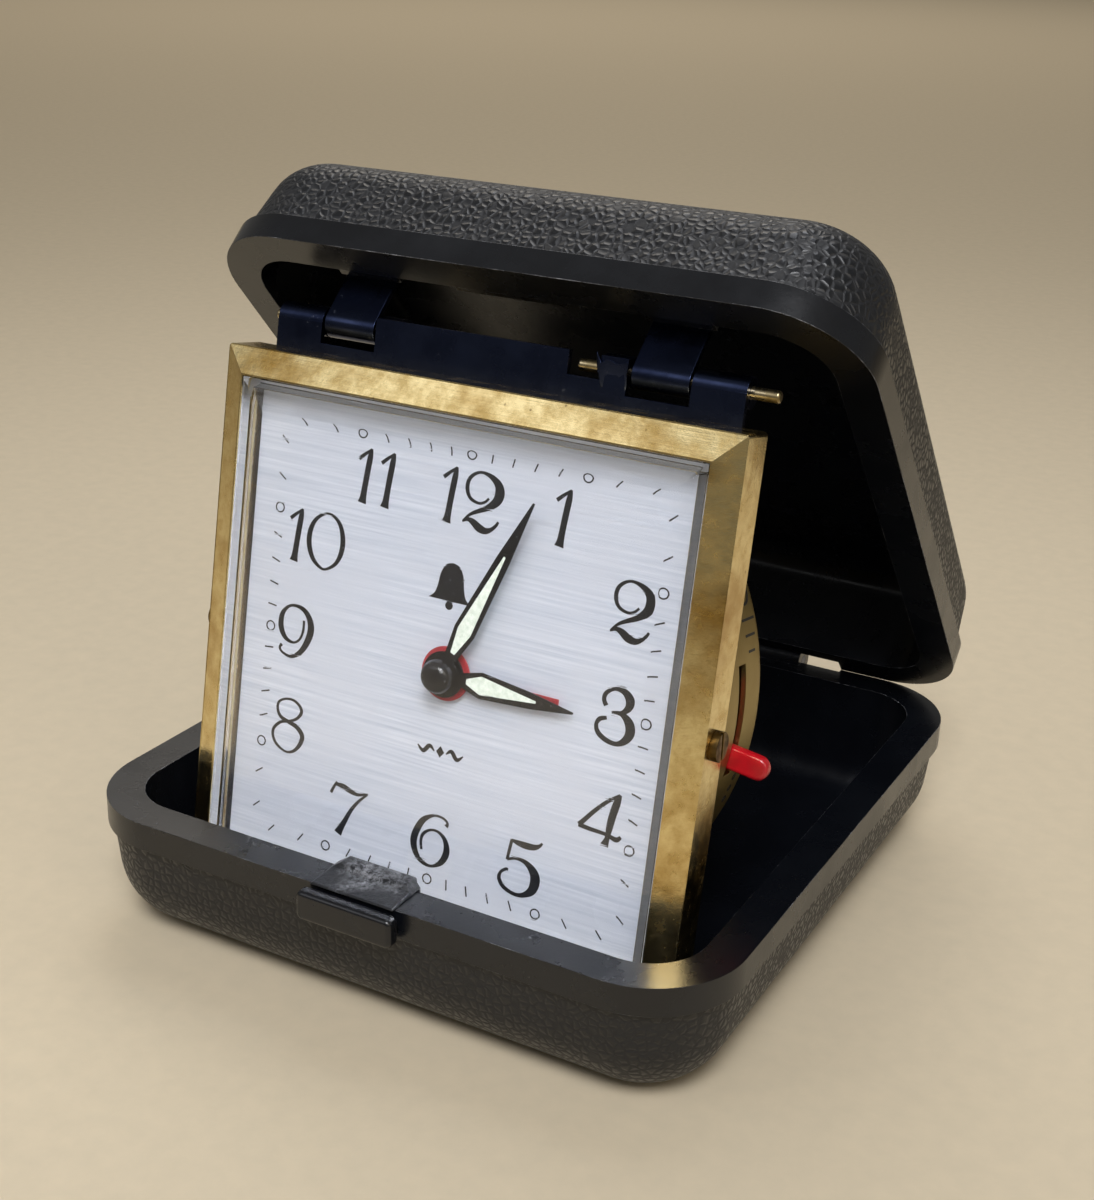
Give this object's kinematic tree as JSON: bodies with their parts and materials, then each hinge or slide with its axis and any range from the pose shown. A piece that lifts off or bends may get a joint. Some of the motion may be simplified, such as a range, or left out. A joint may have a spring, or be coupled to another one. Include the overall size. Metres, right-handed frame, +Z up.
{
  "type": "folding travel alarm clock",
  "caption": "Square wind-up alarm clock hung from the lid of a black leather-grained folding travel case, standing open.",
  "frame": {"origin": "middle of the flat underside of the tray", "axes": "+Z up, front of the clock towards -Y, +X to the right seen from the front"},
  "size_m": [0.084, 0.0983, 0.0886],
  "materials": {
    "leathergrain_case": "moulded black plastic with a leather grain",
    "gilt_brass": "gilt, polished",
    "acrylic": "clear acrylic",
    "silvered_dial": "silvered and finely brushed",
    "blued_steel": "blued sheet steel",
    "bright_steel": "bright steel",
    "gilt_cover": "satin gilt",
    "movement_brass": "satin brass",
    "black_hands": "gloss black",
    "luminous_fill": "pale green-white luminous paint",
    "red_paint": "red lacquer",
    "red_plastic": "red plastic"
  },
  "bodies": {
    "base": {"case_base": "leathergrain_case", "case_hinge_pin": "bright_steel", "latch_spring": "bright_steel"},
    "latch": {"latch_button": "leathergrain_case", "latch_catch": "leathergrain_case"},
    "lid": {"case_lid": "leathergrain_case", "lid_strap_left": "blued_steel", "lid_strap_right": "blued_steel", "strap_rivets": "blued_steel"},
    "clock": {"bezel": "gilt_brass", "crystal": "acrylic", "dial_ring": "bright_steel", "dial": "silvered_dial", "bezel_screws": "bright_steel", "back_cover": "gilt_cover", "hinge_plate": "blued_steel", "clock_pin_left": "bright_steel", "clock_pin_right": "bright_steel", "plate_rivets": "blued_steel", "front_plate": "movement_brass", "back_plate": "movement_brass", "plate_pillars": "movement_brass", "pillar_nuts": "bright_steel", "movement_posts": "movement_brass", "time_mainspring": "bright_steel", "alarm_mainspring": "bright_steel", "time_click": "bright_steel", "alarm_click": "bright_steel", "hairspring": "bright_steel"},
    "minute": {"minute_hand": "black_hands", "minute_hand_fill": "luminous_fill", "cannon_pinion": "movement_brass", "hand_cap": "black_hands"},
    "hour": {"hour_hand": "black_hands", "hour_hand_fill": "luminous_fill", "hour_wheel": "movement_brass"},
    "motion": {"minute_wheel": "movement_brass", "time_set_knob": "gilt_cover"},
    "alarm_dial": {"alarm_hand": "red_paint", "alarm_wheel": "movement_brass"},
    "alarm_set": {"alarm_set_arbor": "movement_brass", "alarm_set_knob": "gilt_cover"},
    "time_wind": {"time_winding_arbor": "bright_steel", "time_key": "gilt_cover"},
    "alarm_wind": {"alarm_winding_arbor": "bright_steel", "alarm_key": "gilt_cover"},
    "great": {"time_great_wheel": "movement_brass"},
    "centre": {"centre_wheel": "movement_brass"},
    "third": {"third_wheel": "movement_brass"},
    "fourth": {"fourth_wheel": "movement_brass"},
    "escape": {"escape_wheel": "movement_brass"},
    "pallet": {"pallet_lever": "bright_steel"},
    "balance": {"balance_wheel": "movement_brass"},
    "regulator": {"regulator": "movement_brass"},
    "alarm_great": {"alarm_great_wheel": "movement_brass"},
    "alarm_star": {"alarm_star_wheel": "movement_brass"},
    "hammer": {"alarm_hammer": "bright_steel"},
    "switch": {"alarm_lever": "red_plastic"}
  },
  "joints": [
    {"name": "lid_hinge", "type": "hinge", "parent": "base", "child": "lid", "pos_m": [0, 0.044, 0.017], "axis": [-1, 0, 0], "range_deg": [0, 42.8]},
    {"name": "clock_pivot", "type": "hinge", "parent": "lid", "child": "clock", "pos_m": [0, -0.01334, 0.07195], "axis": [1, 0, 0], "range_deg": [0, 52.81]},
    {"name": "latch_press", "type": "slide", "parent": "base", "child": "latch", "axis": [0, 1, 0], "range_m": [0, 0.0006], "stiffness_N_per_m": 900, "springref_m": -0.0005, "deforming": ["latch_spring"]},
    {"name": "minute_hand_turn", "type": "hinge", "parent": "clock", "child": "minute", "pos_m": [0, -0.02298, 0.03633], "axis": [0, -0.9848, 0.1736], "continuous": true},
    {"name": "hour_hand_turn", "type": "hinge", "parent": "clock", "child": "hour", "pos_m": [0, -0.02298, 0.03633], "axis": [0, -0.9848, 0.1736], "continuous": true},
    {"name": "time_set_turn", "type": "hinge", "parent": "clock", "child": "motion", "pos_m": [-0.00831, -0.01722, 0.04019], "axis": [0, -0.9848, 0.1736], "continuous": true},
    {"name": "alarm_hand_turn", "type": "hinge", "parent": "clock", "child": "alarm_dial", "pos_m": [0, -0.02298, 0.03633], "axis": [0, -0.9848, 0.1736], "continuous": true},
    {"name": "alarm_set_turn", "type": "hinge", "parent": "clock", "child": "alarm_set", "pos_m": [0.00182, -0.01985, 0.02528], "axis": [0, -0.9848, 0.1736], "continuous": true},
    {"name": "time_key_turn", "type": "hinge", "parent": "clock", "child": "time_wind", "pos_m": [-0.00983, -0.01432, 0.02782], "axis": [0, -0.9848, 0.1736], "range_deg": [0, 1440]},
    {"name": "alarm_key_turn", "type": "hinge", "parent": "clock", "child": "alarm_wind", "pos_m": [-0.0095, -0.01052, 0.04937], "axis": [0, -0.9848, 0.1736], "range_deg": [0, 1080]},
    {"name": "fourth_wheel_turn", "type": "hinge", "parent": "clock", "child": "fourth", "pos_m": [0.01305, -0.01517, 0.04026], "axis": [0, -0.9848, 0.1736], "continuous": true},
    {"name": "third_wheel_turn", "type": "hinge", "parent": "clock", "child": "third", "pos_m": [0.00476, -0.01465, 0.04324], "axis": [0, -0.9848, 0.1736], "continuous": true},
    {"name": "centre_wheel_turn", "type": "hinge", "parent": "clock", "child": "centre", "pos_m": [0, -0.01608, 0.03512], "axis": [0, -0.9848, 0.1736], "continuous": true},
    {"name": "great_wheel_turn", "type": "hinge", "parent": "clock", "child": "great", "pos_m": [-0.00983, -0.01629, 0.02816], "axis": [0, -0.9848, 0.1736], "continuous": true},
    {"name": "escape_wheel_turn", "type": "hinge", "parent": "clock", "child": "escape", "pos_m": [0.01717, -0.01543, 0.03305], "axis": [0, -0.9848, 0.1736], "continuous": true},
    {"name": "pallet_rock", "type": "hinge", "parent": "clock", "child": "pallet", "pos_m": [0.01512, -0.01641, 0.0275], "axis": [0, -0.9848, 0.1736], "range_deg": [-4, 4]},
    {"name": "balance_swing", "type": "hinge", "parent": "clock", "child": "balance", "pos_m": [0.011, -0.0177, 0.02017], "axis": [0, -0.9848, 0.1736], "range_deg": [-135, 135], "stiffness_Nm_per_rad": 0.000002},
    {"name": "regulator_shift", "type": "hinge", "parent": "clock", "child": "regulator", "pos_m": [0.011, -0.01376, 0.01948], "axis": [0, -0.9848, 0.1736], "range_deg": [-15, 15]},
    {"name": "alarm_great_turn", "type": "hinge", "parent": "clock", "child": "alarm_great", "pos_m": [-0.0095, -0.01249, 0.04971], "axis": [0, -0.9848, 0.1736], "continuous": true},
    {"name": "alarm_star_turn", "type": "hinge", "parent": "clock", "child": "alarm_star", "pos_m": [-0.01804, -0.01312, 0.04614], "axis": [0, -0.9848, 0.1736], "continuous": true},
    {"name": "hammer_rock", "type": "hinge", "parent": "clock", "child": "hammer", "pos_m": [-0.021, -0.01475, 0.03691], "axis": [0, -0.9848, 0.1736], "range_deg": [-4, 4]},
    {"name": "alarm_switch", "type": "hinge", "parent": "clock", "child": "switch", "pos_m": [0, -0.0151, 0.03494], "axis": [0, -0.9848, 0.1736], "range_deg": [0, 15]}
  ],
  "couplings": [
    {"joint": "clock_pivot", "follows": "lid_hinge", "ratio": 1.2336},
    {"joint": "hour_hand_turn", "follows": "minute_hand_turn", "ratio": 0.083333},
    {"joint": "time_set_turn", "follows": "minute_hand_turn", "ratio": -0.33333},
    {"joint": "alarm_set_turn", "follows": "alarm_hand_turn", "ratio": -4},
    {"joint": "third_wheel_turn", "follows": "fourth_wheel_turn", "ratio": -0.125},
    {"joint": "centre_wheel_turn", "follows": "fourth_wheel_turn", "ratio": 0.016667},
    {"joint": "great_wheel_turn", "follows": "fourth_wheel_turn", "ratio": -0.0041667},
    {"joint": "escape_wheel_turn", "follows": "fourth_wheel_turn", "ratio": -10},
    {"joint": "alarm_star_turn", "follows": "alarm_great_turn", "ratio": -6.25}
  ]
}
